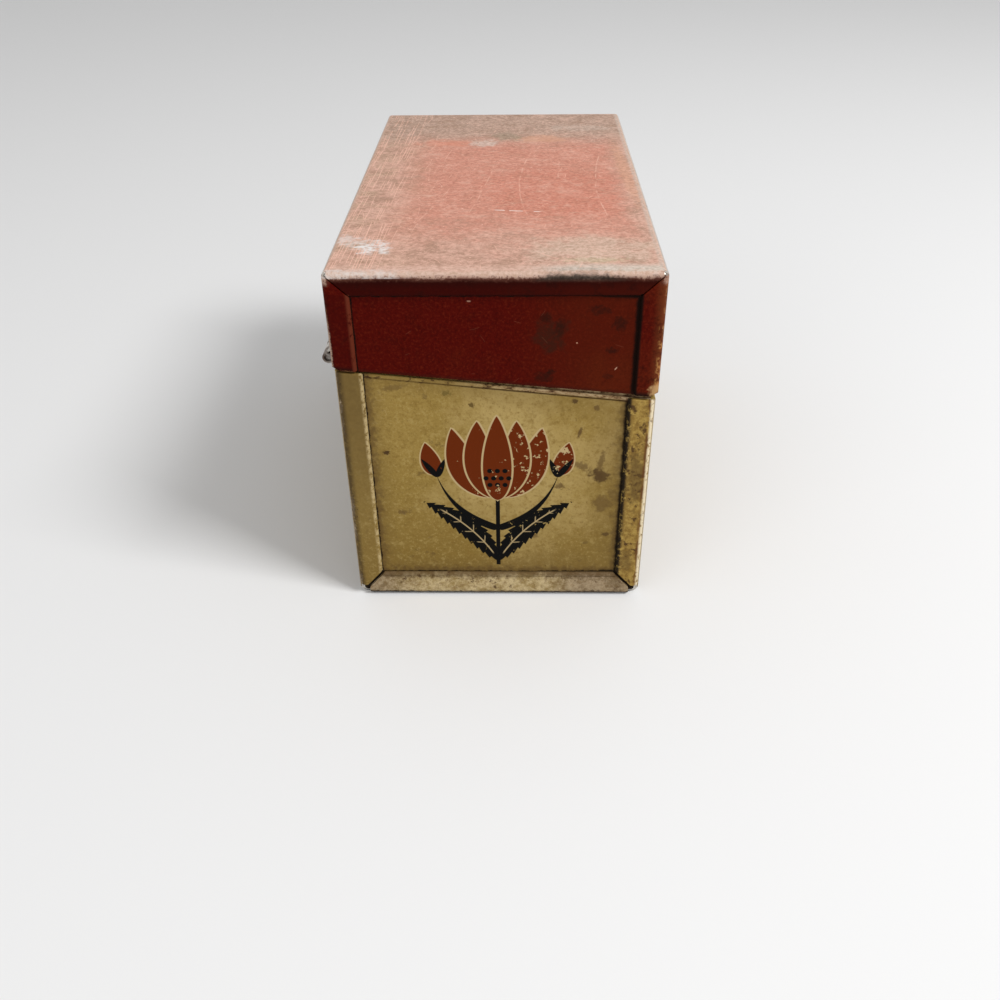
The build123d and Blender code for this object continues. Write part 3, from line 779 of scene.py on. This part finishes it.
def base_end_finish(name, motif):
    """The base's end panels: stained, dusty and in painted shade towards their borders, with the flower
    or plain.
    """
    paint, painted = mustard_enamel(name)
    x, z = paint.x, paint.z
    near, far = painted * paint.y.under(0.0), painted * paint.y.over(0.0)
    base_stains(paint, near, far)
    marks = paint.strokes(paint.front, (9, 7), 113, 0.3, 3.0, 0.16, 0, 80)
    paint.lay(painted * marks * 0.5, (0.46, 0.33, 0.15))
    from_border = (-abs(x) + base_window).least(z - base_window_low)
    below = -z + shoulder(paint)
    ragged = paint.noise(1.8, 111, detail=4.0, roughness=0.7) - 0.5
    # painted shade: darker towards the borders and under the shoulder
    shade = (from_border.least(below) / x.rise(-10, 25, 0.8, 1.5) + ragged * 5).fall(0.0, 8.5)
    paint.lay(painted * shade * 0.42, (0.150, 0.092, 0.027))
    if motif:
        tulip(paint, near)
    dusty = (from_border + ragged * 7).fall(0.2, 2.6)
    paint.lay(painted * dusty * 0.6, (0.085, 0.046, 0.016))
    # soot in the groove by the borders, widened on the right by painted shadow of the right border
    wide = x.rise(15, 31, 0.6, 1.15)
    groove_soot_and_shadow = ((from_border + ragged * 1.3) / wide).fall(0.15, 0.8)
    paint.lay(painted * below.over(0.1) * groove_soot_and_shadow * 0.95, soot_and_shade, roughness=0.85)
    shoulder_strip(paint, painted, below)
    paint.lay(paint.noise(30, 112, detail=1.0), lift=0.3)
    return paint.finish(specular=0.06)


# ---- the printed flower ----
ink_red = (0.120, 0.0175, 0.0006)
ink_black = (0.0018, 0.0018, 0.0016)
ink_cream = (0.46, 0.34, 0.17)


def leaf_shape(paint, base, tip, half_width, bow=0.0, full=0.5, teeth=0.0):
    """A pointed leaf from base to tip: how far inside its outline each place lies, in mm,
    its share of the way to the tip, and its distance from the middle line."""
    start, run = Vector(base), Vector(tip) - Vector(base)
    length = run.length
    ahead = run / length
    dx, dz = paint.x - start.x, paint.z - start.y
    along = (dx * ahead.x + dz * ahead.y) / length
    share = along.most(0.0).least(1.0)
    rest = -share + 1.0
    aside = dz * ahead.x - dx * ahead.y - share * rest * (4 * bow)
    width = (share**full) * (rest ** (1.4 - full)) * (2.4 * half_width)
    if teeth:
        width = width - (share * (length / 2.2)).math("FRACT") * teeth
    past_ends = abs(along - share) * length
    return width - abs(aside) - past_ends, share, aside


def tulip(paint, panel):
    """A plain folk tulip: black stem and leaves, rust-red petals and buds with cream between."""
    chips = paint.noise(1.5, 121, detail=4.0, roughness=0.65)
    whole = panel * (chips + (paint.x - 8) * 0.005).fall(0.60, 0.63)
    black = panel * chips.fall(0.64, 0.68)

    def ink(mask, colour, cover):
        paint.lay(cover * mask, colour, roughness=0.38, lift=0.01)

    for side in (-1, 1):
        sprig = leaf_shape(paint, (0, 22), (side * 15.5, 40), 0.7, side * -3.2, 0.1)[0]
        ink(sprig.rise(-0.1, 0.1), ink_black, black)
        inside, share, aside = leaf_shape(
            paint, (0, 11.5), (side * 19, 30.5), 3.6, side * 2.2, 0.6, teeth=0.7
        )
        ink(inside.rise(-0.1, 0.1), ink_black, black)
        vein = abs(aside).fall(0.10, 0.26) * share.rise(0.08, 0.12) * share.fall(0.78, 0.84)
        ribs = ((share * 6.0 - abs(aside) * 0.22).math("FRACT") - 0.5).line(0.0, 0.07)
        ribs = ribs * inside.rise(0.9, 1.5) * share.rise(0.12, 0.16) * share.fall(0.75, 0.8)
        ink(vein.most(ribs) * 0.85, ink_cream, panel)
        bud = leaf_shape(paint, (side * 15.2, 38.6), (side * 17.6, 48.0), 2.5, side * -0.3)[0]
        ink(bud.rise(-0.45, -0.3), ink_cream, panel)
        ink(bud.rise(-0.1, 0.1), ink_red, whole)
        for cup_tip in (12.9, 18.8):
            cup = leaf_shape(paint, (side * 15.0, 38.0), (side * cup_tip, 43.4), 0.85)[0]
            ink(cup.rise(-0.1, 0.1), ink_black, black)
    stem = abs(paint.x).fall(0.45, 0.62) * paint.z.over(10.0) * paint.z.under(34.0)
    ink(stem, ink_black, black)
    petals = (
        ((-1.0, 32.0), (-11.0, 52.0), 4.3, 2.4),
        ((1.0, 32.0), (11.0, 52.0), 4.3, -2.4),
        ((-0.6, 31.6), (-4.8, 54.0), 4.2, 1.6),
        ((0.6, 31.6), (4.8, 54.0), 4.2, -1.6),
        ((0.0, 31.0), (0.0, 55.5), 3.8, 0.0),
    )
    for base, tip, half_width, bow in petals:
        inside = leaf_shape(paint, base, tip, half_width, bow, full=0.55)[0]
        ink(inside.rise(-0.55, -0.4), ink_cream, panel)
        ink(inside.rise(-0.1, 0.1), ink_red, whole)
    # rows of dots low on the petals
    for reach, count in ((2.6, 3), (4.6, 4), (6.8, 3)):
        for number in range(count):
            dot = ((number - (count - 1) / 2) * 1.9, 33.0 + reach)
            ink(paint.distance(paint.front, dot).fall(0.55, 0.75), ink_black, black)


def hinge_finish():
    """Hinge leaves: bare tinplate, rusty inside the rolled knuckles."""
    paint = Paint("hinge_tinplate")
    tinplate(paint)
    cloud = paint.noise(3.2, 131, detail=4.0, roughness=0.65)
    rolled = (-paint.x - half_depth).rise(0.5, 1.1)
    paint.lay(cloud.rise(0.5, 0.7) * 0.7, rust, roughness=0.8, metal=0.1)
    paint.lay(rolled * cloud.rise(0.35, 0.6) * 0.8, (0.060, 0.024, 0.010), roughness=0.8, metal=0.1)
    return paint.finish(specular=0.5)


def pin_finish():
    """Hinge pins: drawn steel wire, dark with age."""
    paint = Paint("hinge_wire")
    cloud = paint.noise(2.4, 141, detail=4.0, roughness=0.65)
    paint.lay(1.0, (0.26, 0.24, 0.22), roughness=0.42, metal=1.0)
    paint.lay(cloud.rise(0.45, 0.65), rust, roughness=0.8, metal=0.1)
    paint.lay(paint.noise((0.4, 8, 0.4), 142), lift=0.01)
    return paint.finish(specular=0.5)


lid_enamel = lid_wrap_finish()
lid_end_enamel = lid_end_finish()
base_enamel = base_wrap_finish()
hinge_tin = hinge_finish()
hinge_wire = pin_finish()
finishes = {
    "lid_wrap": lid_enamel,
    "lid_end_near": lid_end_enamel,
    "lid_end_far": lid_end_enamel,
    "base_wrap": base_enamel,
    "base_end_near": base_end_finish("base_end_printed", motif=True),
    "base_end_far": base_end_finish("base_end_plain", motif=False),
}
for end in ("near", "far"):
    finishes[f"lid_leaf_{end}"] = hinge_tin
    finishes[f"base_leaf_{end}"] = hinge_tin
    finishes[f"hinge_pin_{end}"] = hinge_wire
for node, finish in finishes.items():
    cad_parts[node].data.materials[0] = finish


# ---- floor, light and camera, in metres ----
def make_floor(half_side):
    mesh = bpy.data.meshes.new("floor")
    square = [(-1, -1), (1, -1), (1, 1), (-1, 1)]
    mesh.from_pydata([(half_side * a, half_side * b, 0) for a, b in square], [], [(0, 1, 2, 3)])
    floor = bpy.data.objects.new("floor", mesh)
    bpy.context.scene.collection.objects.link(floor)
    material = bpy.data.materials.new("floor_paper")
    material.use_nodes = True
    surface = material.node_tree.nodes["Principled BSDF"]
    surface.inputs["Base Color"].default_value = (0.78, 0.78, 0.78, 1)
    surface.inputs["Roughness"].default_value = 0.9
    surface.inputs["Specular IOR Level"].default_value = 0.1
    mesh.materials.append(material)


def make_light(name, place, target, size, level):
    """A square soft light; level is how bright a white surface facing it at the target becomes."""
    lamp = bpy.data.lights.new(name, "AREA")
    lamp.size = size
    reach = Vector(target) - Vector(place)
    lamp.energy = level * math.pi**2 * reach.length_squared
    light = bpy.data.objects.new(name, lamp)
    light.location = place
    light.rotation_mode = "QUATERNION"
    light.rotation_quaternion = reach.to_track_quat("-Z", "Y")
    bpy.context.scene.collection.objects.link(light)


def make_world(level):
    """Even light of this level, which the camera and reflections see as white."""
    world = bpy.data.worlds.new("studio")
    bpy.context.scene.world = world
    world.use_nodes = True
    tree = world.node_tree
    path = tree.nodes.new("ShaderNodeLightPath")
    seen = Field(tree, path.outputs["Is Camera Ray"])
    seen = seen.most(Field(tree, path.outputs["Is Glossy Ray"]))
    seen = seen.most(Field(tree, path.outputs["Is Transmission Ray"]))
    background = tree.nodes["Background"]
    background.inputs["Color"].default_value = (1, 1, 1, 1)
    feed(background.inputs["Strength"], seen * (1 - level) + level)


def make_camera(place, yaw, pitch, roll, lens):
    """A camera that looks along +Y, turned by yaw, tipped down by pitch and rolled."""
    camera = bpy.data.objects.new("camera", bpy.data.cameras.new("camera"))
    camera.data.lens = lens
    camera.data.clip_start = 0.01
    turn = Matrix.Rotation(yaw, 4, "Z") @ Matrix.Rotation(math.pi / 2 - pitch, 4, "X")
    turn = turn @ Matrix.Rotation(roll, 4, "Z")
    camera.matrix_world = Matrix.Translation(place) @ turn
    bpy.context.scene.collection.objects.link(camera)
    bpy.context.scene.camera = camera


make_floor(half_side=6.0)
make_world(level=0.55)
middle = (0, 0, 0.05)
make_light("key", (0.75, -0.42, 0.95), middle, size=0.4, level=0.76)
make_light("fill", (-0.9, -1.1, 0.7), middle, size=0.9, level=0.12)
# place, angles and lens fitted to the box's corners in the photograph
make_camera((0.0054, -0.26782, 0.17325), yaw=0.0240, pitch=0.6160, roll=-0.0125, lens=34.94)
bpy.context.scene.view_settings.view_transform = "Standard"
